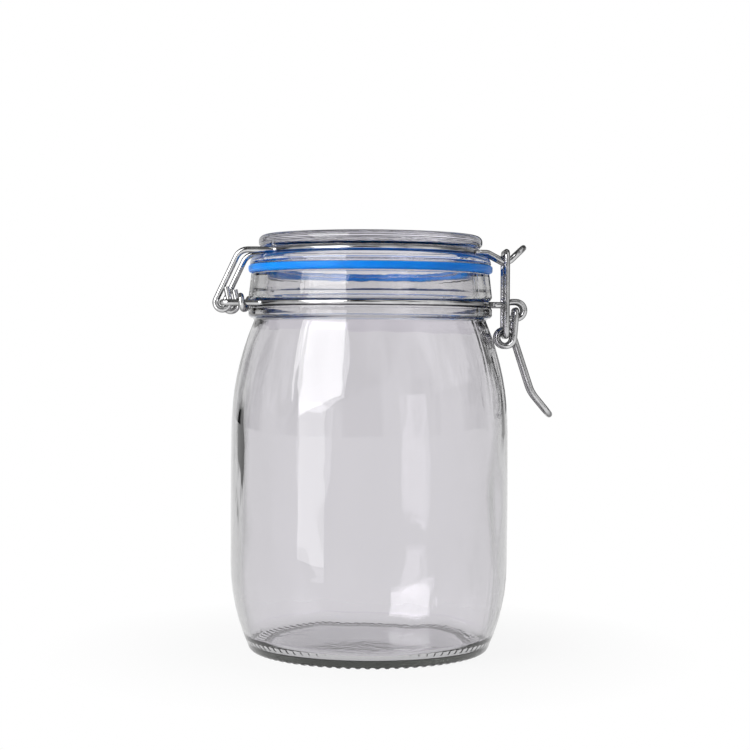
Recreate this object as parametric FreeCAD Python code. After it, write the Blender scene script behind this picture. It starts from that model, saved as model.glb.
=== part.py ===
"""Clip-top storage jar: glass jar and lid, rubber gasket and the bent-wire clip.

Millimetres, +Z up.  The origin is the centre of the jar's base on its axis, the clip is
on the +X side and the hinge on the -X side.  The bent wires are mirrored about Y = 0.
"""

import FreeCAD, Part
import math
import os

V = FreeCAD.Vector

# ---- glass jar
body_radius = 54.3
rim_height = 147.0
wall = 3.3
floor_thickness = 2.6
base_lift = 1.3
bearing_radius = 46.6
bearing_width = 5.0
heel_height = 36.0
shoulder_height = 84.0
shoulder_top_gap = 18.0
mouth_radius = 40.5
mouth_flare = 0.135
rim_edge_radius = 0.7
mouth_edge_radius = 0.7
rim_radius = 46.6
flange_radius = 47.9
bead_radius = 47.7
bead_slope = 1.0
groove_radius = 45.0
neck_over_groove = 0.2
neck_wire_below_rim = 12.0
bearing_slope = 3.0
notch_count = 80
notch_radius = 1.2
notch_depth = 0.45
notch_inner_radius = 44.4
notch_length = 5.0
foot_inset = 1.2
foot_corner = 6.5
heel_arc_share = 0.90
shoulder_arc_share = 0.96
inner_heel_arc_share = 0.80
edge_radius = 0.7
flange_edge_radius = 1.7

# ---- glass lid and gasket
gasket_radius = 47.8
gasket_thickness = 3.0
lid_flange_radius = 47.2
lid_flange_height = 4.0
lid_disc_radius = 43.8
lid_disc_height = 5.2
lid_disc_edge = 2.4
lid_disc_rim = 5.5
lid_top_dish = 0.6
lid_groove_depth = 5.2
spigot_radius = 38.3
spigot_lift = 1.2
spigot_edge_radius = 0.7
spigot_wall = 3.4
spigot_draft = 1.0
lid_plate = 6.0

# ---- wires
wire = 2.4
seat_gap = 0.08
layer_gap = 0.25
turn_pitch_gap = 0.05
ring_bend = 3.5
small_bend = 1.8

# ---- hinge at the back
hinge_reach = 8.9
hinge_leg_y = 22.2
hinge_arm_inside_leg = 3.7
hook_play = 0.3
arm_lean = math.radians(25.0)
hook_end_height = 5.4
hook_end_slope = 0.22
arm_bend = 5.0

# ---- tie wire: its ends are curled round the legs of the hinge loop
curl_bend = 2.3
curl_side_bend = 1.6
tie_behind_neck = 1.4
tie_rise = V(1.1, 2.3, 0)
tie_end_inside_leg = 7.9

# ---- clip at the front
eye_radius = 3.3
eye_y = 3.3
eye_end = V(-0.5, 0, 0.6)
eye_end_corner = 1.0
eye_top_end = 1.8
eye_bend = 4.0
eye_lead = 1.6
coil_radius = 3.2
coil_glass_gap = 0.4
coil_below_neck_wire = 12.8
lever_reach = V(4.0, 0, 10.75)
coil_corners = 6
pivot_end_inside_eye = 0.6
link_end_inside_coil = 0.4
link_top_bend = 2.6
tongue_y = 4.6
tongue_drop = 4.1
tongue_bend = 3.0
tongue_start_inside = 1.6
tongue_tip_rise = 6.3
tongue_tip_reach = 6.5
tongue_clearance = 0.35
valley_ahead_of_coil = 0.5
valley_rise_over_corner = 0.55
handle_bend = V(10.3, 0, -21.2)
handle_tip = V(17.6, 0, -30.0)
handle_y = 5.0
handle_bend_radius = 14.0
handle_tip_flat = 0.4

# ---- levels and radii that follow from the above
neck_wire_z = rim_height - neck_wire_below_rim
neck_wire_radius = groove_radius + seat_gap + wire / 2
neck_top_z = rim_height - shoulder_top_gap
neck_radius = groove_radius + neck_over_groove
flange_under_z = neck_wire_z + wire / 2 + seat_gap
bead_top_z = neck_wire_z - wire / 2 - seat_gap
gasket_top_z = rim_height + gasket_thickness
lid_flange_top_z = gasket_top_z + lid_flange_height
lid_wire_z = lid_flange_top_z + wire / 2 + seat_gap
lid_disc_under_z = lid_wire_z + wire / 2 + seat_gap
lid_groove_radius = lid_disc_radius - lid_groove_depth
lid_wire_radius = lid_groove_radius + seat_gap + wire / 2
hinge_x = -(neck_wire_radius + hinge_reach + wire / 2)
hinge_arm_y = hinge_leg_y - hinge_arm_inside_leg
tie_end_angle = math.asin((hinge_leg_y - tie_end_inside_leg) / neck_wire_radius)
link_pin_lift = coil_radius - wire - turn_pitch_gap


def unit(v):
    return v * (1.0 / v.Length)


def bent_path(points, radii):
    """A wire of straight runs with a tangent arc at each inner point.

    A radius of None makes the arc as large as it can be when the two runs beside it
    are shared equally with the arcs at their other ends, and a radius of 0 leaves the
    corner sharp.
    """
    last = len(points) - 1
    edges, here = [], points[0]
    for i in range(1, last):
        before, corner, after = points[i - 1 : i + 2]
        back, on = before - corner, after - corner
        turn = math.pi - back.getAngle(on)
        if radii[i] is None:
            half_in = back.Length * (0.5 if i > 1 else 1.0)
            half_on = on.Length * (0.5 if i < last - 1 else 1.0)
            reach = min(half_in, half_on)
            radius = reach / math.tan(turn / 2)
        else:
            radius = radii[i]
            reach = radius * math.tan(turn / 2)
        if reach < 1e-6:
            edges.append(Part.LineSegment(here, corner).toShape())
            here = corner
            continue
        start = corner + unit(back) * reach
        end = corner + unit(on) * reach
        inward = unit(unit(back) + unit(on))
        centre = corner + inward * (radius / math.cos(turn / 2))
        middle = centre - inward * radius
        if (start - here).Length > 1e-4:
            edges.append(Part.LineSegment(here, start).toShape())
        else:
            start = here
        edges.append(Part.Arc(start, middle, end).toShape())
        here = end
    if (points[-1] - here).Length > 1e-4:
        edges.append(Part.LineSegment(here, points[-1]).toShape())
    return Part.Wire(edges)


def wire_solid(points, radii, name):
    """Round wire swept along bent_path; prints how far its volume is from section x length."""
    path = bent_path(points, radii)
    heading = unit(points[1] - points[0])
    section = Part.Wire([Part.makeCircle(wire / 2, points[0], heading)])
    solid = path.makePipeShell([section], True, False)
    if solid.Volume < 0:
        solid.reverse()
    due = math.pi * wire**2 / 4 * path.Length
    print(f"{name}: length {path.Length:.1f}, volume off by {100 * (solid.Volume / due - 1):.2f} %")
    return solid


def mirrored(points, radii):
    """A half path from its outer end to the middle plane, followed by its mirror image."""
    others = [V(p.x, -p.y, p.z) for p in reversed(points)]
    return points + others, radii + list(reversed(radii))


def turned(outline):
    """A solid of revolution about Z from (radius, height, corner radius) points.

    A straight side closes the outline from its last point to its first.
    """
    points = [V(r, 0, z) for r, z, corner in outline]
    path = bent_path(points, [corner for r, z, corner in outline])
    closing = Part.LineSegment(points[-1], points[0]).toShape()
    face = Part.Face(Part.Wire(path.Edges + [closing]))
    return Part.makeSolid(face.revolve(V(0, 0, 0), V(0, 0, 1), 360).Shells[0])


def sweep_corner(radius, height, end_radius, end_height, share=1.0):
    """Corner for an arc that leaves a vertical line at height and heads for the end point."""
    dr, dz = abs(radius - end_radius), end_height - height
    arc = (dr**2 + dz**2) / (2 * dr)
    return radius, height + (dr**2 + dz**2) / (2 * dz), arc * share


def leave_ring(radius, y, front):
    """Where a wire on a ring bends off it to run along X at -y: (angle, corner of the bend)."""
    out = radius + ring_bend
    centre_x = math.sqrt(out**2 - (y + ring_bend) ** 2)
    angle = math.atan2(y + ring_bend, centre_x)
    tangent_x = radius * math.cos(angle)
    run = (y - radius * math.sin(angle)) / math.cos(angle)
    corner_x = tangent_x - run * math.sin(angle)
    return angle, V(corner_x if front else -corner_x, -y, 0)


def ring_corners(radius, z, first, last, count):
    """Corners whose arcs of that radius join into the ring's arc on the -Y side.

    The angles are measured from +X towards -Y.
    """
    half = (last - first) / count / 2
    out = radius / math.cos(half)
    corners = []
    for i in range(count):
        angle = first + half * (2 * i + 1)
        corners.append(V(out * math.cos(angle), -out * math.sin(angle), z))
    return corners


def shoulder_arc():
    """(radius, centre radius, centre height) of the jar's outer shoulder arc."""
    dr, dz = body_radius - neck_radius, neck_top_z - shoulder_height
    arc = (dr**2 + dz**2) / (2 * dr)
    return arc, body_radius - arc, shoulder_height


def notches():
    """Short round-bottomed notches over the outer edge of the ring that the jar stands on."""
    start = V(notch_inner_radius, 0, notch_depth - notch_radius)
    rod = Part.makeCylinder(notch_radius, notch_length, start, V(1, 0, 0))
    tip = Part.makeSphere(notch_radius, start)
    cutter = rod.fuse(tip).removeSplitter()
    cutters = []
    for i in range(notch_count):
        turned_cutter = cutter.copy()
        turned_cutter.rotate(V(0, 0, 0), V(0, 0, 1), 360 * (i + 0.5) / notch_count)
        cutters.append(turned_cutter)
    return Part.makeCompound(cutters)


def glass_jar():
    inner = body_radius - wall
    floor_z = base_lift + floor_thickness
    share = shoulder_arc_share
    heel = sweep_corner(body_radius, heel_height, bearing_radius, 0.0, heel_arc_share)
    shoulder = sweep_corner(body_radius, shoulder_height, neck_radius, neck_top_z, share)
    inside_neck = neck_radius - wall
    inner_shoulder = sweep_corner(inner, shoulder_height, inside_neck, neck_top_z, share)
    inner_foot = bearing_radius - foot_inset
    inner_heel = sweep_corner(inner, heel_height, inner_foot, floor_z, inner_heel_arc_share)
    slope = (inside_neck - inner_shoulder[0]) / (neck_top_z - inner_shoulder[1])
    # the mouth widens downwards until it meets the inside of the shoulder
    bore_drop = inside_neck - mouth_radius + slope * (rim_height - neck_top_z)
    bore_z = rim_height - bore_drop / (slope + mouth_flare)
    bore_radius = mouth_radius + mouth_flare * (rim_height - bore_z)
    ring_inside = bearing_radius - bearing_width
    body = turned(
        [
            (0, base_lift, None),
            (ring_inside - bearing_slope, base_lift, 5.0),
            (ring_inside, 0, 1.5),
            (bearing_radius, 0, 2.0),
            heel,
            shoulder,
            (neck_radius, neck_top_z, 0.8),
            (bead_radius, neck_top_z + bead_slope, 1.3),
            (bead_radius, bead_top_z, 0.8),
            (groove_radius, bead_top_z, edge_radius),
            (groove_radius, flange_under_z, edge_radius),
            (flange_radius, flange_under_z, flange_edge_radius),
            (rim_radius, rim_height, rim_edge_radius),
            (mouth_radius, rim_height, mouth_edge_radius),
            (bore_radius, bore_z, 7.0),
            inner_shoulder,
            inner_heel,
            (inner_foot, floor_z, foot_corner),
            (0, floor_z, None),
        ]
    )
    return body.cut(notches()).Solids[0]


def glass_lid():
    spigot_z = rim_height + spigot_lift
    top_z = lid_disc_under_z + lid_disc_height
    plate_z = top_z - lid_plate
    return turned(
        [
            (0, plate_z, None),
            (spigot_radius - spigot_wall - spigot_draft, plate_z, 3.0),
            (spigot_radius - spigot_wall, spigot_z, spigot_edge_radius),
            (spigot_radius, spigot_z, spigot_edge_radius),
            (spigot_radius, gasket_top_z, 0),
            (lid_flange_radius, gasket_top_z, 0.6),
            (lid_flange_radius, lid_flange_top_z, 3.2),
            (lid_groove_radius, lid_flange_top_z, 0.8),
            (lid_groove_radius, lid_disc_under_z, 0.8),
            (lid_disc_radius, lid_disc_under_z, lid_disc_edge),
            (lid_disc_radius, top_z, lid_disc_edge),
            (lid_disc_radius - lid_disc_rim, top_z, 8.0),
            (0, top_z - lid_top_dish, None),
        ]
    )


def gasket():
    inside = spigot_radius + seat_gap
    return turned(
        [
            (inside, rim_height, None),
            (gasket_radius, rim_height, edge_radius),
            (gasket_radius, gasket_top_z, edge_radius),
            (inside, gasket_top_z, None),
        ]
    )


def clip_points():
    """The clip's centres on the middle plane: coil, lever pivot, link pin, valley, link bar."""
    arc, centre_r, centre_z = shoulder_arc()
    coil_z = neck_wire_z - coil_below_neck_wire
    reach = arc + coil_glass_gap + coil_radius + wire / 2
    coil = V(centre_r + math.sqrt(reach**2 - (coil_z - centre_z) ** 2), 0, coil_z)
    pivot = coil + lever_reach
    pin = coil + V(0, 0, link_pin_lift)
    valley = V(coil.x + valley_ahead_of_coil, 0, lid_wire_z - tongue_drop)
    # the bar passes lowest over the tongue when link pin, pivot and bar are in line
    lowest = valley.z + valley_rise_over_corner + wire + tongue_clearance
    arm = (pin - pivot).Length
    aside = coil.x - pivot.x
    link_length = arm + math.hypot(aside, lowest - pivot.z)
    bar = V(coil.x, 0, pin.z + link_length)
    return coil, pivot, pin, valley, bar


def neck_wire():
    coil, pivot, pin, valley, bar = clip_points()
    start, front_corner = leave_ring(neck_wire_radius, eye_y, True)
    leave, back_corner = leave_ring(neck_wire_radius, hinge_leg_y, False)
    ring = ring_corners(neck_wire_radius, neck_wire_z, start, math.pi - leave, 4)
    eye_top = pivot.z + eye_radius
    front_corner.z = back_corner.z = neck_wire_z
    eye_corner = V(pivot.x - eye_radius, -eye_y, pivot.z - eye_radius)
    points = [
        eye_corner + eye_end,
        eye_corner + V(eye_end_corner, 0, 0),
        V(pivot.x + eye_radius, -eye_y, pivot.z - eye_radius),
        V(pivot.x + eye_radius, -eye_y, eye_top),
        V(pivot.x - eye_top_end, -eye_y, eye_top),
        V(neck_wire_radius + ring_bend + eye_lead, -eye_y, neck_wire_z),
        front_corner,
        *ring,
        back_corner,
        V(hinge_x, -hinge_leg_y, neck_wire_z),
    ]
    radii = [None, curl_bend, eye_radius, eye_radius, eye_bend, eye_bend, ring_bend]
    radii += [neck_wire_radius] * len(ring) + [ring_bend, ring_bend - 1.0]
    return wire_solid(*mirrored(points, radii), "neck_wire")


def tie_wire():
    """Closes the ring behind the neck; each end is curled round a leg of the hinge loop."""
    curl = wire + seat_gap
    x = -(neck_wire_radius + tie_behind_neck)
    z = neck_wire_z
    out, near = hinge_leg_y + curl, hinge_leg_y - curl
    step = (wire + turn_pitch_gap) / 4
    ring = ring_corners(neck_wire_radius, z, math.pi - tie_end_angle, math.pi, 1)
    outward = V(-math.cos(tie_end_angle), -math.sin(tie_end_angle), 0)
    heading = V(-outward.y, outward.x, 0)
    leave = outward * neck_wire_radius + heading * small_bend + V(0, 0, z)
    points = [
        V(x - 4 * step, -near, z - curl_bend),
        V(x - 3 * step, -near, z + curl),
        V(x - 2 * step, -out, z + curl),
        V(x - step, -out, z - curl),
        V(x, -near, z - curl),
        V(x, -near, z) + tie_rise,
        leave,
        *ring,
    ]
    bends = [curl_bend] * 3 + [curl_side_bend] * 2 + [small_bend]
    radii = [None] + bends + [neck_wire_radius] * len(ring)
    return wire_solid(*mirrored(points, radii), "tie_wire")


def lid_wire():
    coil, pivot, pin, valley, bar = clip_points()
    hook = wire + hook_play
    centre = V(hinge_x, -hinge_arm_y, neck_wire_z)
    lean = V(math.sin(arm_lean), 0, math.cos(arm_lean))
    arm_side = V(-lean.z, 0, lean.x)
    end_side = unit(V(1, 0, hook_end_slope))
    down = V(0, 0, -1)

    def hook_corner(one, other):
        """Where the hook circle's tangent lines with these outward normals meet."""
        return centre + (one + other) * (hook / (1 + one.dot(other)))

    foot = centre + arm_side * hook
    bend = foot + lean * ((lid_wire_z - foot.z) / lean.z)
    end = centre + end_side * hook + V(-hook_end_slope, 0, 1) * hook_end_height
    leave, back_corner = leave_ring(lid_wire_radius, hinge_arm_y, False)
    start, front_corner = leave_ring(lid_wire_radius, tongue_y, True)
    back_corner.z = front_corner.z = lid_wire_z
    ring = ring_corners(lid_wire_radius, lid_wire_z, start, math.pi - leave, 4)
    points = [
        end,
        hook_corner(end_side, down),
        hook_corner(down, arm_side),
        bend,
        back_corner,
        *reversed(ring),
        front_corner,
        V(lid_flange_radius - tongue_start_inside, -tongue_y, lid_wire_z),
        V(valley.x, -tongue_y, valley.z),
        V(valley.x + tongue_tip_reach, -tongue_y, valley.z + tongue_tip_rise),
    ]
    radii = [None, hook, hook, arm_bend, ring_bend] + [lid_wire_radius] * len(ring)
    radii += [ring_bend, tongue_bend, tongue_bend, tongue_y]
    return wire_solid(*mirrored(points, radii), "lid_wire")


def lever_layers():
    """Y of the lever's arm, of its handle-side turn, and of the link's legs."""
    arm_y = eye_y + wire + layer_gap
    inner_y = arm_y - wire - turn_pitch_gap
    link_y = arm_y + wire + layer_gap
    return arm_y, inner_y, link_y


def lever():
    coil, pivot, pin, valley, bar = clip_points()
    arm_y, inner_y, link_y = lever_layers()
    bend, tip = coil + handle_bend, coil + handle_tip
    # both straight legs are tangent to the coil, which turns from one to the other
    to_pivot, to_bend = pivot - coil, bend - coil
    first = math.atan2(to_pivot.z, to_pivot.x) - math.acos(coil_radius / to_pivot.Length)
    last = math.atan2(to_bend.z, to_bend.x) + math.acos(coil_radius / to_bend.Length) - 2 * math.pi
    half = (last - first) / coil_corners / 2
    out = coil_radius / math.cos(half)
    turns = []
    for i in range(coil_corners):
        angle = first + half * (2 * i + 1)
        y = arm_y + (inner_y - arm_y) * (i + 0.5) / coil_corners
        turns.append(V(coil.x + out * math.cos(angle), -y, coil.z + out * math.sin(angle)))
    points = [
        V(pivot.x, -(eye_y - wire / 2 - pivot_end_inside_eye), pivot.z),
        V(pivot.x, -arm_y, pivot.z),
        *turns,
        V(bend.x, -handle_y, bend.z),
        V(tip.x, -handle_y, tip.z),
    ]
    radii = [None, small_bend] + [None] * coil_corners
    radii += [handle_bend_radius, handle_y - handle_tip_flat]
    return wire_solid(*mirrored(points, radii), "lever")


def link():
    coil, pivot, pin, valley, bar = clip_points()
    arm_y, inner_y, link_y = lever_layers()
    points = [
        V(pin.x, -(inner_y - wire / 2 - link_end_inside_coil), pin.z),
        V(pin.x, -link_y, pin.z),
        V(bar.x, -link_y, bar.z),
    ]
    return wire_solid(*mirrored(points, [None, small_bend, link_top_bend]), "link")


def main():
    pieces = {
        "glass_jar": glass_jar(),
        "neck_wire": neck_wire(),
        "tie_wire": tie_wire(),
        "glass_lid": glass_lid(),
        "gasket": gasket(),
        "lid_wire": lid_wire(),
        "lever": lever(),
        "link": link(),
    }
    os.makedirs("parts", exist_ok=True)
    for name, shape in pieces.items():
        print(f"{name}: {shape.ShapeType} volume {shape.Volume:.0f} valid {shape.isValid()}")
        shape.exportStep(f"parts/{name}.step")
    for name, point in zip(("coil", "pivot", "pin", "valley", "bar"), clip_points()):
        print(f"{name}: x {point.x:.3f} z {point.z:.3f}")
    print(f"hinge: x {hinge_x:.3f} z {neck_wire_z:.3f}")


main()
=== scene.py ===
"""Clip-top storage jar: clear glass jar and lid, blue rubber seal and bright wire clip.

The jar stands on z = 0 with its axis on z, its clip on +x and its hinge on -x.  The outlines and
the wires' routes are in millimetres and everything else is in metres.
"""

import math

import bmesh
import bpy
from bpy.props import FloatProperty, FloatVectorProperty, IntProperty, PointerProperty
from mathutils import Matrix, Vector, geometry, noise


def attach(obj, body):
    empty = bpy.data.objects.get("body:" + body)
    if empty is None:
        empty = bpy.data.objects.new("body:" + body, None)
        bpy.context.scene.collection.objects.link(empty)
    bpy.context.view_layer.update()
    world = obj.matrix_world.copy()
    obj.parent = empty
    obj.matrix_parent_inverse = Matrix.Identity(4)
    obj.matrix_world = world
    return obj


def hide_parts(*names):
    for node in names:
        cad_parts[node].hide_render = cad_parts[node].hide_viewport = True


bl_info = {
    "name": "Clip-Top Jar",
    "version": (1, 0, 0),
    "blender": (4, 5, 0),
    "location": "View3D > Sidebar > Jar",
    "description": "Builds a glass storage jar with a hinged lid, a rubber seal and a wire clip",
    "category": "Object",
}

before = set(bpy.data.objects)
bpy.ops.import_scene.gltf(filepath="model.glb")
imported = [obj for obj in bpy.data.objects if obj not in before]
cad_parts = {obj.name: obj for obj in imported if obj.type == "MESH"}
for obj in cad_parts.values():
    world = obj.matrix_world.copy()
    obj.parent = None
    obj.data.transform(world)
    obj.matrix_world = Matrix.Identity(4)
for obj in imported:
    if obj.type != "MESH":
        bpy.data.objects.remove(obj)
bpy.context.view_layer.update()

MM = 0.001
# points closer than this are one point
SAME_PLACE = 1e-6

# steps along an outline: on its straight runs, beside their ends and round its corners
LONG_STEP = 0.006
END_STEP = 0.00015
CORNER_STEP = math.radians(14)
# a run that turns by less than this, in radians, is straight
STRAIGHT = 0.001
# edges that turn by more than this, in degrees, stay sharp
TURNED_CREASE, WIRE_CREASE = 50, 40
# steps along each run and over a quarter of the section of a wire, and round its cut ends' edges
RUN_STEPS, SECTION_STEPS, END_STEPS = 8, 6, 3

# (radius, height, corner radius) from the middle of the base, up the outside and down the inside
JAR_OUTLINE = [
    (0.0, 1.3, None),
    (38.6, 1.3, 5.0),
    (41.6, 0.0, 1.5),
    (46.6, 0.0, 2.0),
    (54.3, 17.18, 79.21),
    (54.3, 107.42, 111.18),
    (45.2, 129.0, 0.8),
    (47.7, 130.0, 1.3),
    (47.7, 133.72, 0.8),
    (45.0, 133.72, 0.7),
    (45.0, 136.28, 0.7),
    (47.9, 136.28, 1.7),
    (46.6, 147.0, 0.7),
    (40.5, 147.0, 0.7),
    (41.5, 141.0, 8.0),
    (41.45, 138.0, 8.0),
    (42.55, 133.0, 8.0),
    (43.42, 125.41, 7.0),
    (51.0, 107.42, 111.18),
    (51.0, 19.46, 75.84),
    (45.4, 3.4, 6.3),
    (36.0, 3.6, 30.0),
    (0.0, 3.9, None),
]
LID_OUTLINE = [
    (0.0, 155.76, None),
    (33.9, 155.76, 3.0),
    (34.9, 148.2, 0.7),
    (38.3, 148.2, 0.7),
    (38.3, 150.0, 0.1),
    (47.2, 150.0, 0.6),
    (47.2, 154.0, 3.2),
    (38.6, 154.0, 0.8),
    (38.6, 156.56, 0.8),
    (43.8, 156.56, 2.4),
    (43.8, 161.76, 2.4),
    (38.3, 161.76, 8.0),
    (0.0, 161.16, None),
]
SEAL_OUTLINE = [
    (38.38, 147.0, 0.2),
    (47.8, 147.0, 1.3),
    (47.8, 150.0, 0.7),
    (38.38, 150.0, 0.2),
]

# (x, y, z, bend radius) from the wire's end to the middle plane; the other half is its mirror image
LINK_ROUTE = [
    (52.89, -1.9, 122.95, None),
    (52.89, -8.6, 122.95, 1.8),
    (52.89, -8.6, 155.62, 2.6),
]
LEVER_ROUTE = [
    (56.89, -1.5, 132.95, None),
    (56.89, -5.95, 132.95, 1.8),
    (55.96, -5.75, 120.26, None),
    (52.98, -5.34, 118.57, None),
    (49.92, -4.93, 120.11, None),
    (49.51, -4.52, 123.51, None),
    (52.10, -4.11, 125.74, None),
    (55.40, -3.70, 124.82, None),
    (63.19, -5.0, 101.0, 14.0),
    (70.49, -5.0, 92.2, 4.6),
]
TIE_ROUTE = [
    (-50.13, -19.72, 132.70, None),
    (-49.52, -19.72, 137.48, 2.3),
    (-48.91, -24.68, 137.48, 2.3),
    (-48.29, -24.68, 132.52, 2.3),
    (-47.68, -19.72, 132.52, 1.6),
    (-46.58, -17.42, 135.0, 1.6),
    (-43.46, -16.01, 135.0, 1.8),
    (-46.28, -7.33, 135.0, 46.28),
]
NECK_ROUTE = [
    (53.09, -3.3, 130.25, None),
    (54.59, -3.3, 129.65, 2.3),
    (60.19, -3.3, 129.65, 3.3),
    (60.19, -3.3, 136.25, 3.3),
    (55.09, -3.3, 136.25, 4.0),
    (51.38, -3.3, 135.0, 4.0),
    (46.26, -3.3, 135.0, 3.5),
    (43.84, -20.89, 135.0, 46.28),
    (23.73, -42.37, 135.0, 46.28),
    (-5.09, -48.29, 135.0, 46.28),
    (-32.04, -36.49, 135.0, 46.28),
    (-40.66, -22.2, 135.0, 3.5),
    (-56.38, -22.2, 135.0, 2.5),
]
LID_WIRE_ROUTE = [
    (-54.93, -18.5, 140.98, None),
    (-53.02, -18.5, 132.30, 2.7),
    (-60.62, -18.5, 132.30, 2.7),
    (-49.90, -18.5, 155.28, 5.0),
    (-35.39, -18.5, 155.28, 3.5),
    (-28.05, -30.96, 155.28, 39.88),
    (-5.45, -41.42, 155.28, 39.88),
    (19.10, -37.16, 155.28, 39.88),
    (36.85, -19.68, 155.28, 39.88),
    (39.72, -4.6, 155.28, 3.5),
    (45.60, -4.6, 155.28, 3.0),
    (53.39, -4.6, 151.18, 3.0),
    (59.89, -4.6, 157.48, 4.6),
]

# the outside of the jar's wall: its widest radius, and for its shoulder and its heel the height
# that they start from and the radius of their arc
BELLY = 0.0543
SHOULDER_START, SHOULDER_ARC = 0.084, 0.1158
HEEL_START, HEEL_ARC = 0.036, 0.088
# what lies this far within the outside is the inside wall; above the bead, a radius parts the two
WITHIN = 0.0015
BEAD_START, MOUTH_RADIUS = 0.129, 0.0440

# the walls wander between two heights, and calm down over a length at each end
WANDER_START, WANDER_END = 0.010, 0.126
CALM_START, CALM_END = 0.030, 0.012
# how many waves go to a metre round the jar and what share of that up it, and the quick ones' weight
SLOW, SLOW_STRETCH = 34.0, 0.35
QUICK, QUICK_STRETCH = 90.0, 0.45
QUICK_SHARE_INSIDE, QUICK_SHARE_OUTSIDE = 0.45, 0.7
OUTSIDE_SHARE = 0.14

# the mould's joint lines, in degrees from the clip's side towards the back, and their size
SEAMS = (-123.0, 57.0, -31.0, 149.0)
SEAM_START, SEAM_FADE = 0.090, 0.02
SEAM_HEIGHT, SEAM_HALF_WIDTH = 0.00018, 0.0008

# round-bottomed notches across the ring that the jar stands on
NOTCHES = 80
NOTCH_RADIUS, NOTCH_CENTRE = 0.0013, -0.00050
NOTCH_START, NOTCH_RUN_IN = 0.0425, 0.0010
NOTCH_TOP = 0.002

# nearer to the axis than this, nothing wanders
STILL_RADIUS = 0.002

# how steeply glass is seen where its painted edge shade starts and where it is darkest; 1 is edge-on
STEEP_START, STEEP_END = 0.62, 0.90
# how many bumps go to a metre of glass: ripples, fine pits, the patches of pits, level ripples
RIPPLES, PITS, PIT_PATCHES, LEVEL_RIPPLES = 30.0, 190.0, 22.0, 260.0
# the share of those numbers up the jar for ripples and pits, and round it for level ripples
UPRIGHT, LEVEL = 0.25, 0.12
# the neck's level ripples: heights between which they begin and end, and their strength
NECK_START, NECK_FULL = 0.114, 0.124
NECK_FADE, NECK_END = 0.1474, 0.1481
NECK_STRENGTH = 0.70
# the jar's thick glass and the lid's clearer glass: the share of their colour kept where they
# are seen steeply, a painted shade at their edges, then what light takes on along its way in
# them, and how fast
JAR_EDGE_SHADE, JAR_DEEP, JAR_DIMMING = 0.58, (0.50, 0.515, 0.49), 60.0
LID_EDGE_SHADE, LID_DEEP, LID_DIMMING = 0.90, (0.55, 0.50, 0.64), 5.0
# what the lamps' light takes on as it passes straight through a piece of glass
LAMP_TINT = (0.93, 0.93, 0.94, 1)

# the floor: its radius, its lightness, and how far from the axis it gets lighter; right under
# the jar it is darker, partly its real shadow and partly a painted shadow in its colour
FLOOR_RADIUS = 4.0
FLOOR_FAR = (0.06, 0.13, 0.88, 1.0)
FLOOR_UNDER = (0.030, 0.046, 0.60, 1.0)
FLOOR_PAINTED_SHADOW = (0.036, 0.046, 0.68, 0.86)
# how much dimmer floor and room are after a reflection within glass, and the floor through glass
WITHIN_GLASS, THROUGH_GLASS = 0.85, 0.095
# the room: its own light, and its brightness by height, in reflections and through glass
ROOM_LIGHT = 0.30
ROOM_CEILING = (0.25, 0.60, 1.0, 0.60)
ROOM_MIRRORED = (0.45, 0.55, 0.03, 0.9)
ROOM_THROUGH = (0.36, 0.60, 0.80, 1.0)
ROOM_STREAKS = (0.35, 0.60, 0.90, 1.04)
PANELS, STREAKS = 2.6, 13.0
PANELS_UPRIGHT = 0.12

# soft lamps: name, azimuth, elevation, distance, width, height, radiance and roll; the azimuth
# is 0 in front and 90 on the clip's side, and the lamps face a point on the axis
LAMPS = (
    ("key softbox", -46, 27, 0.9, 0.62, 0.60, 5.5, 18),
    ("side softbox", -44, -4, 0.34, 0.13, 0.15, 2.2, 0),
    ("fill softbox", 75, 35, 1.0, 0.8, 0.8, 0.5, 0),
)
LAMP_AIM = Vector((0, 0, 0.10))

# the camera's place beside the axis, the height that it looks at, and its tilt in degrees
EYE_SIDE, LOOK_HEIGHT, EYE_TILT = 0.002, 0.1073, 0.35
SENSOR_WIDTH = 36.0


class JarSizes(bpy.types.PropertyGroup):
    wire: FloatProperty(
        name="Wire", description="Diameter of the clip's wire", default=0.0024, unit="LENGTH"
    )
    end_chamfer: FloatProperty(
        name="Wire End", description="Rounding of the cut wire ends", default=0.00025, unit="LENGTH"
    )
    columns: IntProperty(name="Columns", description="Steps round the turned pieces", default=480)
    wave: FloatProperty(
        name="Wave",
        description="How far the inside wall of the glass wanders in and out",
        default=0.0009,
        unit="LENGTH",
    )


class JarColours(bpy.types.PropertyGroup):
    glass: FloatVectorProperty(
        name="Glass",
        description="Tint of the glass",
        subtype="COLOR",
        size=3,
        default=(0.925, 0.91, 0.94),
    )
    lid_glass: FloatVectorProperty(
        name="Lid Glass",
        description="Tint of the lid's clearer glass",
        subtype="COLOR",
        size=3,
        default=(0.96, 0.96, 0.985),
    )
    seal: FloatVectorProperty(
        name="Seal",
        description="Colour of the rubber seal",
        subtype="COLOR",
        size=3,
        default=(0.0, 0.235, 0.82),
    )
    steel: FloatVectorProperty(
        name="Steel",
        description="Colour of the bright wire",
        subtype="COLOR",
        size=3,
        default=(0.60, 0.60, 0.605),
    )


class JarStudio(bpy.types.PropertyGroup):
    eye_height: FloatProperty(
        name="Eye Height", description="Height of the camera", default=0.1203, unit="LENGTH"
    )
    eye_distance: FloatProperty(
        name="Eye Distance",
        description="Distance of the camera from the jar's axis",
        default=0.660,
        unit="LENGTH",
    )
    lens: FloatProperty(name="Lens", description="Focal length in millimetres", default=80.6)


# ---- lines, turned pieces and bent wires


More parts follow.
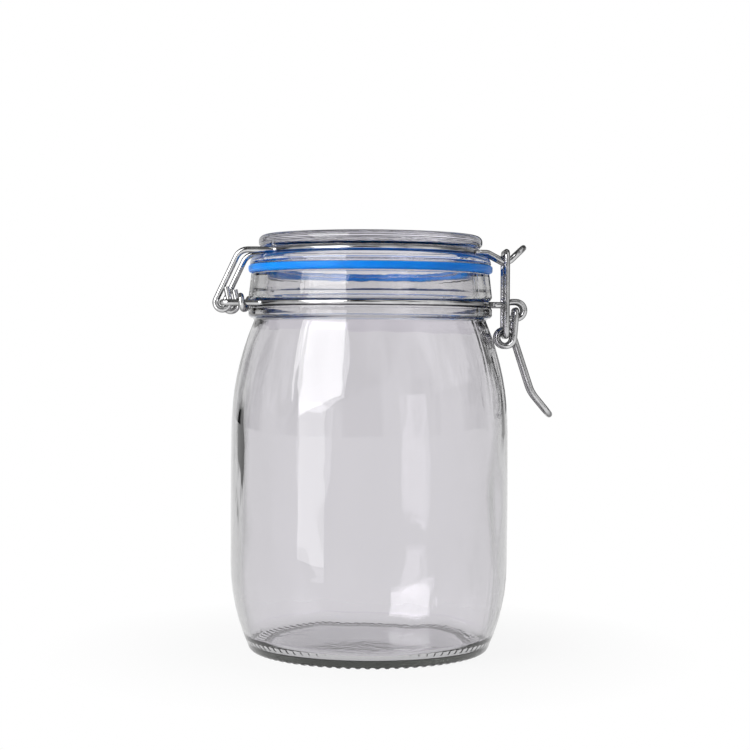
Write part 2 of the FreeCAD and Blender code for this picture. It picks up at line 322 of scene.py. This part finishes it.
def rounded(corners, cyclic=False):
    """(place, left handle, right handle) of a line of straight runs and rounded corners.

    corners holds (place, bend radius).  A radius of None takes half of the shorter run.
    """
    stops = []
    last = len(corners) - 1

    def stop(place, left, right):
        if stops and (stops[-1][0] - place).length < SAME_PLACE:
            stops[-1][2] = right
        else:
            stops.append([place, left, right])

    for i, (place, radius) in enumerate(corners):
        if not cyclic and i in (0, last):
            stop(place, place, place)
            continue
        before, after = corners[i - 1][0], corners[(i + 1) % (last + 1)][0]
        back, on = before - place, after - place
        turn = math.pi - back.angle(on)
        if radius is None:
            half_back = back.length * (0.5 if i > 1 else 1.0)
            half_on = on.length * (0.5 if i < last - 1 else 1.0)
            reach = min(half_back, half_on)
            radius = reach / math.tan(turn / 2)
        reach = radius * math.tan(turn / 2)
        handle = radius * math.tan(turn / 4) * 4 / 3
        back.normalize()
        on.normalize()
        start, end = place + back * reach, place + on * reach
        stop(start, start, start - back * handle)
        stop(end, end - on * handle, end)
    pairs = list(zip(stops, stops[1:] + stops[:1]))
    for one, other in pairs if cyclic else pairs[:-1]:
        run = (other[0] - one[0]) / 3
        if one[2] == one[0]:
            one[2] = one[0] + run
        if other[1] == other[0]:
            other[1] = other[0] - run
    return stops


def empty_curve(name):
    """Curve object at the origin that has no spline yet."""
    bpy.ops.object.select_all(action="DESELECT")
    bpy.ops.curve.primitive_bezier_curve_add(location=(0, 0, 0))
    line = bpy.context.object
    line.name = line.data.name = name
    line.data.splines.clear()
    return line


def to_mesh(piece):
    bpy.ops.object.select_all(action="DESELECT")
    piece.select_set(True)
    bpy.context.view_layer.objects.active = piece
    bpy.ops.object.convert(target="MESH")
    return bpy.context.object


def merge_and_face_outwards():
    """In edit mode, joins the points that lie on each other and turns all faces outwards."""
    bpy.ops.mesh.select_all(action="SELECT")
    bpy.ops.mesh.remove_doubles(threshold=SAME_PLACE)
    bpy.ops.mesh.normals_make_consistent(inside=False)


def smooth(piece, degrees):
    bpy.ops.object.select_all(action="DESELECT")
    piece.select_set(True)
    bpy.context.view_layer.objects.active = piece
    bpy.ops.object.shade_smooth_by_angle(angle=math.radians(degrees))


def stepped(stops):
    """Points along the stops: by angle round the corners, by length on the straight runs.

    A straight run has a short step at both ends, which keeps the shading of its flat part true.
    """
    places = []
    for one, other in zip(stops, stops[1:]):
        run = other[0] - one[0]
        bend = (one[2] - one[0]).angle(other[0] - other[1])
        steps = max(math.ceil(run.length / LONG_STEP), math.ceil(bend / CORNER_STEP))
        if bend > STRAIGHT:
            handles = (one[0], one[2], other[1], other[0])
            places += geometry.interpolate_bezier(*handles, steps + 1)[:-1]
            continue
        places.append(one[0])
        if run.length > 4 * END_STEP:
            eased = run * (END_STEP / run.length)
            places.append(one[0] + eased)
            places += [one[0] + run * (i / steps) for i in range(1, steps)]
            places.append(other[0] - eased)
    return places + [stops[-1][0]]


def turned(name, outline, columns, cyclic=False):
    """Spins an outline of (radius, height, corner radius) once round the jar's axis."""
    corners = [(Vector((r, 0, z)) * MM, None if c is None else c * MM) for r, z, c in outline]
    stops = rounded(corners, cyclic)
    places = stepped(stops + stops[:1])[:-1] if cyclic else stepped(stops)
    line = empty_curve(name)
    spline = line.data.splines.new("POLY")
    spline.points.add(len(places) - 1)
    for point, place in zip(spline.points, places):
        point.co = (*place, 1)
    spline.use_cyclic_u = cyclic
    piece = to_mesh(line)
    bpy.ops.object.mode_set(mode="EDIT")
    bpy.ops.mesh.select_all(action="SELECT")
    bpy.ops.mesh.spin(steps=columns, angle=math.tau, center=(0, 0, 0), axis=(0, 0, 1))
    merge_and_face_outwards()
    bpy.ops.object.mode_set(mode="OBJECT")
    return piece


def bent_wire(name, route, wire, chamfer):
    """Round wire along a half route and its mirror image, with its cut ends eased."""
    half = [(Vector(row[:3]) * MM, None if row[3] is None else row[3] * MM) for row in route]
    other = [(Vector((place.x, -place.y, place.z)), bend) for place, bend in reversed(half)]
    line = empty_curve(name)
    spline = line.data.splines.new("BEZIER")
    stops = rounded(half + other)
    spline.bezier_points.add(len(stops) - 1)
    for knot, (start, left, right) in zip(spline.bezier_points, stops):
        knot.handle_left_type = knot.handle_right_type = "FREE"
        knot.co, knot.handle_left, knot.handle_right = start, left, right
    line.data.dimensions = "3D"
    line.data.twist_mode = "MINIMUM"
    line.data.resolution_u = RUN_STEPS
    line.data.bevel_depth = wire / 2
    line.data.bevel_resolution = SECTION_STEPS
    line.data.use_fill_caps = True
    piece = to_mesh(line)
    bpy.ops.object.mode_set(mode="EDIT")
    merge_and_face_outwards()
    bpy.ops.mesh.select_mode(type="FACE")
    bpy.ops.mesh.select_all(action="DESELECT")
    body = bmesh.from_edit_mesh(piece.data)
    for face in body.faces:
        # only the two end caps have more than four corners
        face.select = len(face.verts) > 4
    bmesh.update_edit_mesh(piece.data)
    bpy.ops.mesh.bevel(offset=chamfer, segments=END_STEPS, affect="EDGES")
    bpy.ops.object.mode_set(mode="OBJECT")
    smooth(piece, WIRE_CREASE)
    return piece


# ---- the wandering glass and the notched foot


def outer_radius(z):
    """The jar's outside radius at a height, on its shoulder, wall and heel."""
    if z > SHOULDER_START:
        rise = z - SHOULDER_START
        return BELLY - SHOULDER_ARC + math.sqrt(max(0.0, SHOULDER_ARC**2 - rise**2))
    if z < HEEL_START:
        drop = HEEL_START - z
        return BELLY - HEEL_ARC + math.sqrt(max(0.0, HEEL_ARC**2 - drop**2))
    return BELLY


def wandered(place, wave, inside):
    """How far a point of the wall moves outwards, as blown glass does."""
    x, y, z = place
    calm = min(1.0, (WANDER_END - z) / CALM_END, (z - WANDER_START) / CALM_START)
    slow = noise.noise(Vector((x, y, z * SLOW_STRETCH)) * SLOW)
    quick = noise.noise(Vector((x, y, z * QUICK_STRETCH)) * QUICK)
    if inside:
        return wave * (slow + QUICK_SHARE_INSIDE * quick) * calm
    return OUTSIDE_SHARE * wave * (slow + QUICK_SHARE_OUTSIDE * quick) * calm


def seam_height(angle, radius, z):
    """How far the mould's joint lines stand out at a point of the outside."""
    height = 0.0
    for seam in SEAMS:
        off = abs((angle - math.radians(seam) + math.pi) % math.tau - math.pi) * radius
        shown = min(1.0, (z - SEAM_START) / SEAM_FADE)
        height += SEAM_HEIGHT * max(0.0, 1.0 - off / SEAM_HALF_WIDTH) * shown
    return height


def notch_height(angle, radius):
    """How high the foot's notches reach at a point of its ring."""
    pitch = math.tau / NOTCHES
    across = radius * math.sin((angle % pitch) - pitch / 2)
    top = NOTCH_CENTRE + math.sqrt(max(0.0, NOTCH_RADIUS**2 - across**2))
    return top * min(1.0, (radius - NOTCH_START) / NOTCH_RUN_IN)


def blown(place, wave):
    """Where a point of the turned jar goes when its walls wander and its foot is notched."""
    x, y, z = place
    radius = math.hypot(x, y)
    if radius < STILL_RADIUS:
        return place
    angle = math.atan2(y, x)
    inside = radius < (outer_radius(z) - WITHIN if z < BEAD_START else MOUTH_RADIUS)
    side = 0.0
    if WANDER_START < z < WANDER_END:
        side += wandered(place, wave, inside)
    if not inside and z > SEAM_START:
        side += seam_height(angle, radius, z)
    if radius > NOTCH_START and z < NOTCH_TOP:
        z = max(z, notch_height(angle, radius))
    scale = 1.0 + side / radius
    return Vector((x * scale, y * scale, z))


# ---- materials


def new_material(name):
    material = bpy.data.materials.new(name)
    material.use_nodes = True
    tree = material.node_tree
    shader = tree.nodes["Principled BSDF"]
    return material, tree, shader


def add_node(tree, kind, x, y, **sockets):
    node = tree.nodes.new(kind)
    node.location = (x, y)
    for key, value in sockets.items():
        node.inputs[key.replace("_", " ")].default_value = value
    return node


def chained(tree, operation, first, second):
    """A Math node on two values, each of them a socket or a number."""
    node = add_node(tree, "ShaderNodeMath", -500, 300)
    node.operation = operation
    for socket, value in zip(node.inputs, (first, second)):
        if isinstance(value, float):
            socket.default_value = value
        else:
            tree.links.new(value, socket)
    return node.outputs[0]


def ranged(tree, value, low, high, low_out, high_out):
    """Map Range node that is flat outside its range."""
    node = add_node(tree, "ShaderNodeMapRange", -500, -400, To_Min=low_out, To_Max=high_out)
    node.inputs["From Min"].default_value = low
    node.inputs["From Max"].default_value = high
    tree.links.new(value, node.inputs["Value"])
    return node.outputs["Result"]


def glass_material(name, colour, edge, deep_colour, dimming):
    """Clear glass with ripples, pitted patches and a neck that is rippled level.

    edge is how much of its colour the glass keeps where it is seen steeply, a painted shade
    at its edges; deep_colour and dimming are what light takes on along its way in the glass.
    """
    material, tree, shader = new_material(name)
    links = tree.links
    shader.inputs["Roughness"].default_value = 0.0
    shader.inputs["IOR"].default_value = 1.5
    shader.inputs["Transmission Weight"].default_value = 1.0
    # painted shade: the glass's colour darkens towards its edges, where it is seen edge-on
    facing = add_node(tree, "ShaderNodeLayerWeight", -900, 300).outputs["Facing"]
    shades = add_node(tree, "ShaderNodeValToRGB", -600, 300)
    shades.color_ramp.elements[0].position = STEEP_START
    shades.color_ramp.elements[1].position = STEEP_END
    shades.color_ramp.elements[0].color = (*colour, 1)
    shades.color_ramp.elements[1].color = (*[edge * c for c in colour], 1)
    links.new(facing, shades.inputs["Fac"])
    links.new(shades.outputs["Color"], shader.inputs["Base Color"])

    place = add_node(tree, "ShaderNodeTexCoord", -900, 0).outputs["Object"]
    stretch = add_node(tree, "ShaderNodeMapping", -750, 0)
    stretch.inputs["Scale"].default_value = (1.0, 1.0, UPRIGHT)
    ripple = add_node(tree, "ShaderNodeTexNoise", -600, -100, Scale=RIPPLES, Detail=1.0)
    fine = add_node(tree, "ShaderNodeTexNoise", -600, -350, Scale=PITS, Detail=2.0)
    patches = add_node(tree, "ShaderNodeTexNoise", -600, -600, Scale=PIT_PATCHES, Detail=0.0)
    links.new(place, stretch.inputs["Vector"])
    links.new(stretch.outputs["Vector"], ripple.inputs["Vector"])
    links.new(stretch.outputs["Vector"], fine.inputs["Vector"])
    links.new(place, patches.inputs["Vector"])
    uneven = ranged(tree, patches.outputs["Fac"], 0.48, 0.58, 0.0, 1.5)
    pitted = chained(tree, "MULTIPLY", fine.outputs["Fac"], uneven)

    flat = add_node(tree, "ShaderNodeMapping", -750, -800)
    flat.inputs["Scale"].default_value = (LEVEL, LEVEL, 1.0)
    bands = add_node(tree, "ShaderNodeTexNoise", -600, -800, Scale=LEVEL_RIPPLES, Detail=1.0)
    parts = add_node(tree, "ShaderNodeSeparateXYZ", -750, -950)
    links.new(place, flat.inputs["Vector"])
    links.new(flat.outputs["Vector"], bands.inputs["Vector"])
    links.new(place, parts.inputs[0])
    neck = ranged(tree, parts.outputs["Z"], NECK_START, NECK_FULL, 0.0, NECK_STRENGTH)
    below_lid = ranged(tree, parts.outputs["Z"], NECK_FADE, NECK_END, 1.0, 0.0)
    neck = chained(tree, "MULTIPLY", neck, below_lid)
    level = chained(tree, "MULTIPLY", bands.outputs["Fac"], neck)
    pitted = chained(tree, "ADD", pitted, level)
    bump = add_node(tree, "ShaderNodeBump", -300, -100, Strength=0.07, Distance=0.001)
    links.new(chained(tree, "ADD", ripple.outputs["Fac"], pitted), bump.inputs["Height"])
    links.new(bump.outputs["Normal"], shader.inputs["Normal"])

    out = tree.nodes["Material Output"]
    absorb = add_node(tree, "ShaderNodeVolumeAbsorption", -300, -400, Density=dimming)
    absorb.inputs["Color"].default_value = (*deep_colour, 1)
    links.new(absorb.outputs["Volume"], out.inputs["Volume"])
    # light from the lamps goes straight through, so that what is behind the glass is lit
    path = add_node(tree, "ShaderNodeLightPath", -300, 400).outputs
    clear = add_node(tree, "ShaderNodeBsdfTransparent", 0, 200)
    clear.inputs["Color"].default_value = LAMP_TINT
    mix = add_node(tree, "ShaderNodeMixShader", 200, 200)
    lit = chained(tree, "MAXIMUM", path["Is Shadow Ray"], path["Is Diffuse Ray"])
    links.new(lit, mix.inputs["Fac"])
    links.new(shader.outputs["BSDF"], mix.inputs[1])
    links.new(clear.outputs["BSDF"], mix.inputs[2])
    links.new(mix.outputs["Shader"], out.inputs["Surface"])
    return material


def rubber_material(colour):
    material, tree, shader = new_material("blue rubber")
    shader.inputs["Specular IOR Level"].default_value = 0.25
    shader.inputs["Subsurface Weight"].default_value = 0.6
    shader.inputs["Subsurface Radius"].default_value = (0.2, 0.5, 1.0)
    shader.inputs["Subsurface Scale"].default_value = 0.006
    place = add_node(tree, "ShaderNodeTexCoord", -900, 0)
    mottle = add_node(tree, "ShaderNodeTexNoise", -700, 100, Scale=60.0, Detail=4.0)
    shades = add_node(tree, "ShaderNodeValToRGB", -500, 100)
    shades.color_ramp.elements[0].position = 0.3
    shades.color_ramp.elements[1].position = 0.7
    shades.color_ramp.elements[0].color = (*[0.85 * c for c in colour], 1)
    shades.color_ramp.elements[1].color = (*[min(1.0, 1.12 * c) for c in colour], 1)
    grain = add_node(tree, "ShaderNodeTexNoise", -700, -200, Scale=900.0, Detail=3.0)
    rough = add_node(tree, "ShaderNodeMapRange", -500, -100, To_Min=0.32, To_Max=0.48)
    bump = add_node(tree, "ShaderNodeBump", -300, -250, Strength=0.12, Distance=0.0003)
    links = tree.links
    links.new(place.outputs["Object"], mottle.inputs["Vector"])
    links.new(place.outputs["Object"], grain.inputs["Vector"])
    links.new(mottle.outputs["Fac"], shades.inputs["Fac"])
    links.new(shades.outputs["Color"], shader.inputs["Base Color"])
    links.new(mottle.outputs["Fac"], rough.inputs["Value"])
    links.new(rough.outputs["Result"], shader.inputs["Roughness"])
    links.new(grain.outputs["Fac"], bump.inputs["Height"])
    links.new(bump.outputs["Normal"], shader.inputs["Normal"])
    return material


def steel_material(colour):
    material, tree, shader = new_material("bright drawn wire")
    shader.inputs["Metallic"].default_value = 1.0
    place = add_node(tree, "ShaderNodeTexCoord", -1100, 0)
    dull = add_node(tree, "ShaderNodeTexNoise", -850, 150, Scale=160.0, Detail=5.0)
    shades = add_node(tree, "ShaderNodeValToRGB", -600, 150)
    shades.color_ramp.elements[0].position = 0.35
    shades.color_ramp.elements[1].position = 0.65
    shades.color_ramp.elements[0].color = (*[0.82 * c for c in colour], 1)
    shades.color_ramp.elements[1].color = (*[min(1.0, 1.15 * c) for c in colour], 1)
    rough = add_node(tree, "ShaderNodeMapRange", -600, -100, To_Min=0.08, To_Max=0.22)
    pits = add_node(tree, "ShaderNodeTexNoise", -850, -300, Scale=1500.0, Detail=3.0)
    bump = add_node(tree, "ShaderNodeBump", -300, -250, Strength=0.15, Distance=0.0002)
    links = tree.links
    links.new(place.outputs["Object"], dull.inputs["Vector"])
    links.new(place.outputs["Object"], pits.inputs["Vector"])
    links.new(dull.outputs["Fac"], shades.inputs["Fac"])
    # painted shade: the wire's sides are darker than its middle, by how edge-on they are seen
    facing = add_node(tree, "ShaderNodeLayerWeight", -850, 400).outputs["Facing"]
    side_shaded = add_node(tree, "ShaderNodeVectorMath", -300, 150)
    side_shaded.operation = "SCALE"
    links.new(shades.outputs["Color"], side_shaded.inputs[0])
    links.new(ranged(tree, facing, 0.15, 0.60, 1.0, 0.18), side_shaded.inputs["Scale"])
    links.new(side_shaded.outputs[0], shader.inputs["Base Color"])
    links.new(dull.outputs["Fac"], rough.inputs["Value"])
    links.new(rough.outputs["Result"], shader.inputs["Roughness"])
    links.new(pits.outputs["Fac"], bump.inputs["Height"])
    links.new(bump.outputs["Normal"], shader.inputs["Normal"])
    return material


def placed(piece, node, body, material):
    """Gives the piece its finish and lets it stand for the frame's node."""
    piece.data.materials.clear()
    piece.data.materials.append(material)
    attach(piece, body)
    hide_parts(node)


# ---- floor, room, lamps and camera


def seen_directly(tree):
    """1 for rays from the camera, from a reflection and through glass, and 0 for soft light."""
    path = add_node(tree, "ShaderNodeLightPath", -900, 300).outputs
    seen = chained(tree, "MAXIMUM", path["Is Camera Ray"], path["Is Glossy Ray"])
    return chained(tree, "MAXIMUM", seen, path["Is Transmission Ray"])


def inside_glass(tree, dark):
    """Brightness that falls to dark for rays that were reflected within the glass."""
    path = add_node(tree, "ShaderNodeLightPath", -900, 0).outputs
    crossed = chained(tree, "GREATER_THAN", path["Transmission Depth"], 0.5)
    turned_back = chained(tree, "GREATER_THAN", path["Glossy Depth"], 0.5)
    both = chained(tree, "MULTIPLY", crossed, turned_back)
    loss = chained(tree, "MULTIPLY", both, 1.0 - dark)
    return chained(tree, "SUBTRACT", 1.0, loss)


def soft_lamp(name, azimuth, elevation, distance, width, height, radiance, roll):
    """Rectangular lamp, unseen by the camera, that faces the jar."""
    turn, lift = math.radians(azimuth), math.radians(elevation)
    level = math.cos(lift)
    out = Vector((math.sin(turn) * level, -math.cos(turn) * level, math.sin(lift)))
    bpy.ops.object.light_add(type="AREA", location=LAMP_AIM + out * distance)
    lamp = bpy.context.object
    lamp.name = name
    lamp.data.shape = "RECTANGLE"
    lamp.data.size, lamp.data.size_y = width, height
    lamp.data.energy = radiance * math.pi * width * height
    lamp.rotation_euler = (-out).to_track_quat("-Z", "Y").to_euler()
    lamp.rotation_euler.rotate_axis("Z", math.radians(roll))
    lamp.visible_camera = False


def pale_floor():
    """Floor that shows white, with the jar's shadow and a painted shadow spot right under the jar.
    """
    bpy.ops.object.select_all(action="DESELECT")
    bpy.ops.mesh.primitive_circle_add(vertices=96, radius=FLOOR_RADIUS, fill_type="NGON")
    floor = bpy.context.object
    floor.name = "floor"
    material, tree, shader = new_material("pale floor")
    shader.inputs["Roughness"].default_value = 0.7
    shader.inputs["Specular IOR Level"].default_value = 0.2
    links = tree.links
    place = add_node(tree, "ShaderNodeTexCoord", -900, -200)
    reach = add_node(tree, "ShaderNodeVectorMath", -700, -200)
    reach.operation = "LENGTH"
    glow = add_node(tree, "ShaderNodeEmission", -100, -300, Strength=1.0)
    mix = add_node(tree, "ShaderNodeMixShader", 200, 0)
    links.new(place.outputs["Object"], reach.inputs[0])
    far = ranged(tree, reach.outputs["Value"], *FLOOR_FAR)
    # right under the jar less of the glow shows, which darkens it there: partly its real shadow,
    # partly the painted shadow
    under = ranged(tree, reach.outputs["Value"], *FLOOR_UNDER)
    far = chained(tree, "MULTIPLY", far, under)
    share = chained(tree, "MULTIPLY", seen_directly(tree), far)
    # painted shadow: the floor's colour is greyer right under the jar
    painted_shadow = ranged(tree, reach.outputs["Value"], *FLOOR_PAINTED_SHADOW)
    links.new(painted_shadow, shader.inputs["Base Color"])
    path = add_node(tree, "ShaderNodeLightPath", -900, 0).outputs
    through = chained(tree, "GREATER_THAN", path["Transmission Depth"], 0.5)
    loss = chained(tree, "MULTIPLY", through, THROUGH_GLASS)
    glowing = chained(tree, "SUBTRACT", inside_glass(tree, WITHIN_GLASS), loss)
    links.new(glowing, glow.inputs["Strength"])
    links.new(share, mix.inputs["Fac"])
    links.new(shader.outputs["BSDF"], mix.inputs[1])
    links.new(glow.outputs["Emission"], mix.inputs[2])
    links.new(mix.outputs["Shader"], tree.nodes["Material Output"].inputs["Surface"])
    floor.data.materials.append(material)


def soft_room():
    """World that shows white, with bright and dark panels in reflections and through glass."""
    world = bpy.data.worlds.new("studio")
    bpy.context.scene.world = world
    world.use_nodes = True
    tree = world.node_tree
    links = tree.links
    soft = tree.nodes["Background"]
    soft.inputs["Color"].default_value = (1, 1, 1, 1)
    soft.inputs["Strength"].default_value = ROOM_LIGHT
    white = add_node(tree, "ShaderNodeBackground", -100, -200, Strength=1.0)
    white.inputs["Color"].default_value = (1, 1, 1, 1)
    towards = add_node(tree, "ShaderNodeTexCoord", -1300, -400).outputs["Generated"]
    height = add_node(tree, "ShaderNodeSeparateXYZ", -700, -400)
    ceiling = ranged(tree, height.outputs["Z"], *ROOM_CEILING)
    upright = add_node(tree, "ShaderNodeMapping", -1100, -600)
    upright.inputs["Scale"].default_value = (1.0, 1.0, PANELS_UPRIGHT)
    panels = add_node(tree, "ShaderNodeTexNoise", -900, -600, Scale=PANELS, Detail=1.5)
    streaks = add_node(tree, "ShaderNodeTexNoise", -900, -800, Scale=STREAKS, Detail=2.0)
    links.new(towards, height.inputs[0])
    links.new(towards, upright.inputs["Vector"])
    links.new(upright.outputs["Vector"], panels.inputs["Vector"])
    links.new(upright.outputs["Vector"], streaks.inputs["Vector"])
    path = add_node(tree, "ShaderNodeLightPath", -900, 600).outputs
    crossed = chained(tree, "GREATER_THAN", path["Transmission Depth"], 0.5)
    mirrored = ranged(tree, panels.outputs["Fac"], *ROOM_MIRRORED)
    looked_through = ranged(tree, panels.outputs["Fac"], *ROOM_THROUGH)
    streaked = ranged(tree, streaks.outputs["Fac"], *ROOM_STREAKS)
    looked_through = chained(tree, "MULTIPLY", looked_through, streaked)
    bare = chained(tree, "MULTIPLY", chained(tree, "SUBTRACT", 1.0, crossed), mirrored)
    both = chained(tree, "ADD", bare, chained(tree, "MULTIPLY", crossed, looked_through))
    room = chained(tree, "MULTIPLY", ceiling, both)
    room = chained(tree, "MULTIPLY", room, inside_glass(tree, WITHIN_GLASS))
    links.new(chained(tree, "MAXIMUM", path["Is Camera Ray"], room), white.inputs["Strength"])
    mix = add_node(tree, "ShaderNodeMixShader", 200, 0)
    links.new(seen_directly(tree), mix.inputs["Fac"])
    links.new(soft.outputs["Background"], mix.inputs[1])
    links.new(white.outputs["Background"], mix.inputs[2])
    links.new(mix.outputs["Shader"], tree.nodes["World Output"].inputs["Surface"])


def add_camera(studio):
    """Camera in front of the jar, a little above its middle."""
    eye = Vector((EYE_SIDE, -studio.eye_distance, studio.eye_height))
    bpy.ops.object.camera_add(location=eye)
    camera = bpy.context.object
    look = Vector((EYE_SIDE, 0, LOOK_HEIGHT)) - eye
    camera.rotation_euler = look.to_track_quat("-Z", "Y").to_euler()
    camera.rotation_euler.rotate_axis("Z", math.radians(EYE_TILT))
    camera.data.lens = studio.lens
    camera.data.sensor_width = SENSOR_WIDTH
    bpy.context.scene.camera = camera


# ---- operators


class JAR_OT_body(bpy.types.Operator):
    """Turn the glass jar and let its walls wander as blown glass does"""

    bl_idname = "jar.body"
    bl_label = "Glass Jar"

    def execute(self, context):
        sizes, colours = context.scene.jar_sizes, context.scene.jar_colours
        piece = turned("jar_glass", JAR_OUTLINE, sizes.columns)
        for vertex in piece.data.vertices:
            vertex.co = blown(vertex.co, sizes.wave)
        smooth(piece, TURNED_CREASE)
        glass = glass_material("blown glass", colours.glass, JAR_EDGE_SHADE, JAR_DEEP, JAR_DIMMING)
        placed(piece, "glass_jar", "jar", glass)
        return {"FINISHED"}


class JAR_OT_lid(bpy.types.Operator):
    """Turn the glass lid"""

    bl_idname = "jar.lid"
    bl_label = "Glass Lid"

    def execute(self, context):
        sizes, colours = context.scene.jar_sizes, context.scene.jar_colours
        piece = turned("lid_glass", LID_OUTLINE, sizes.columns // 2)
        smooth(piece, TURNED_CREASE)
        tint = colours.lid_glass
        glass = glass_material("pressed glass", tint, LID_EDGE_SHADE, LID_DEEP, LID_DIMMING)
        placed(piece, "glass_lid", "lid", glass)
        return {"FINISHED"}


class JAR_OT_seal(bpy.types.Operator):
    """Turn the rubber seal"""

    bl_idname = "jar.seal"
    bl_label = "Rubber Seal"

    def execute(self, context):
        sizes, colours = context.scene.jar_sizes, context.scene.jar_colours
        piece = turned("rubber_seal", SEAL_OUTLINE, sizes.columns // 2, cyclic=True)
        smooth(piece, TURNED_CREASE)
        placed(piece, "gasket", "lid", rubber_material(colours.seal))
        return {"FINISHED"}


class JAR_OT_clip(bpy.types.Operator):
    """Bend the five wires of the hinge and the clip"""

    bl_idname = "jar.clip"
    bl_label = "Wires"

    def execute(self, context):
        sizes, colours = context.scene.jar_sizes, context.scene.jar_colours
        steel = steel_material(colours.steel)
        for name, node, body, route in (
            ("neck_ring", "neck_wire", "jar", NECK_ROUTE),
            ("hinge_tie", "tie_wire", "jar", TIE_ROUTE),
            ("lid_ring", "lid_wire", "lid", LID_WIRE_ROUTE),
            ("lever_wire", "lever", "lever", LEVER_ROUTE),
            ("link_wire", "link", "link", LINK_ROUTE),
        ):
            piece = bent_wire(name, route, sizes.wire, sizes.end_chamfer)
            placed(piece, node, body, steel)
        return {"FINISHED"}


class JAR_OT_studio(bpy.types.Operator):
    """Set up the pale floor, the soft lamps, the world and the camera"""

    bl_idname = "jar.studio"
    bl_label = "Studio"

    def execute(self, context):
        pale_floor()
        soft_room()
        for lamp in LAMPS:
            soft_lamp(*lamp)
        add_camera(context.scene.jar_studio)
        context.scene.view_settings.view_transform = "Standard"
        return {"FINISHED"}


class JAR_PT_panel(bpy.types.Panel):
    bl_label = "Clip-Top Jar"
    bl_idname = "JAR_PT_panel"
    bl_space_type = "VIEW_3D"
    bl_region_type = "UI"
    bl_category = "Jar"

    def draw(self, context):
        layout = self.layout
        for group in (context.scene.jar_sizes, context.scene.jar_colours, context.scene.jar_studio):
            box = layout.box()
            for key in group.__annotations__:
                box.prop(group, key)
        for operator in (JAR_OT_body, JAR_OT_lid, JAR_OT_seal, JAR_OT_clip, JAR_OT_studio):
            layout.operator(operator.bl_idname)


CLASSES = (
    JarSizes,
    JarColours,
    JarStudio,
    JAR_OT_body,
    JAR_OT_lid,
    JAR_OT_seal,
    JAR_OT_clip,
    JAR_OT_studio,
    JAR_PT_panel,
)


def register():
    for cls in CLASSES:
        bpy.utils.register_class(cls)
    bpy.types.Scene.jar_sizes = PointerProperty(type=JarSizes)
    bpy.types.Scene.jar_colours = PointerProperty(type=JarColours)
    bpy.types.Scene.jar_studio = PointerProperty(type=JarStudio)


def unregister():
    del bpy.types.Scene.jar_sizes
    del bpy.types.Scene.jar_colours
    del bpy.types.Scene.jar_studio
    for cls in reversed(CLASSES):
        bpy.utils.unregister_class(cls)


def main():
    register()
    bpy.ops.jar.studio()
    bpy.ops.jar.body()
    bpy.ops.jar.lid()
    bpy.ops.jar.seal()
    bpy.ops.jar.clip()


if __name__ == "__main__":
    main()
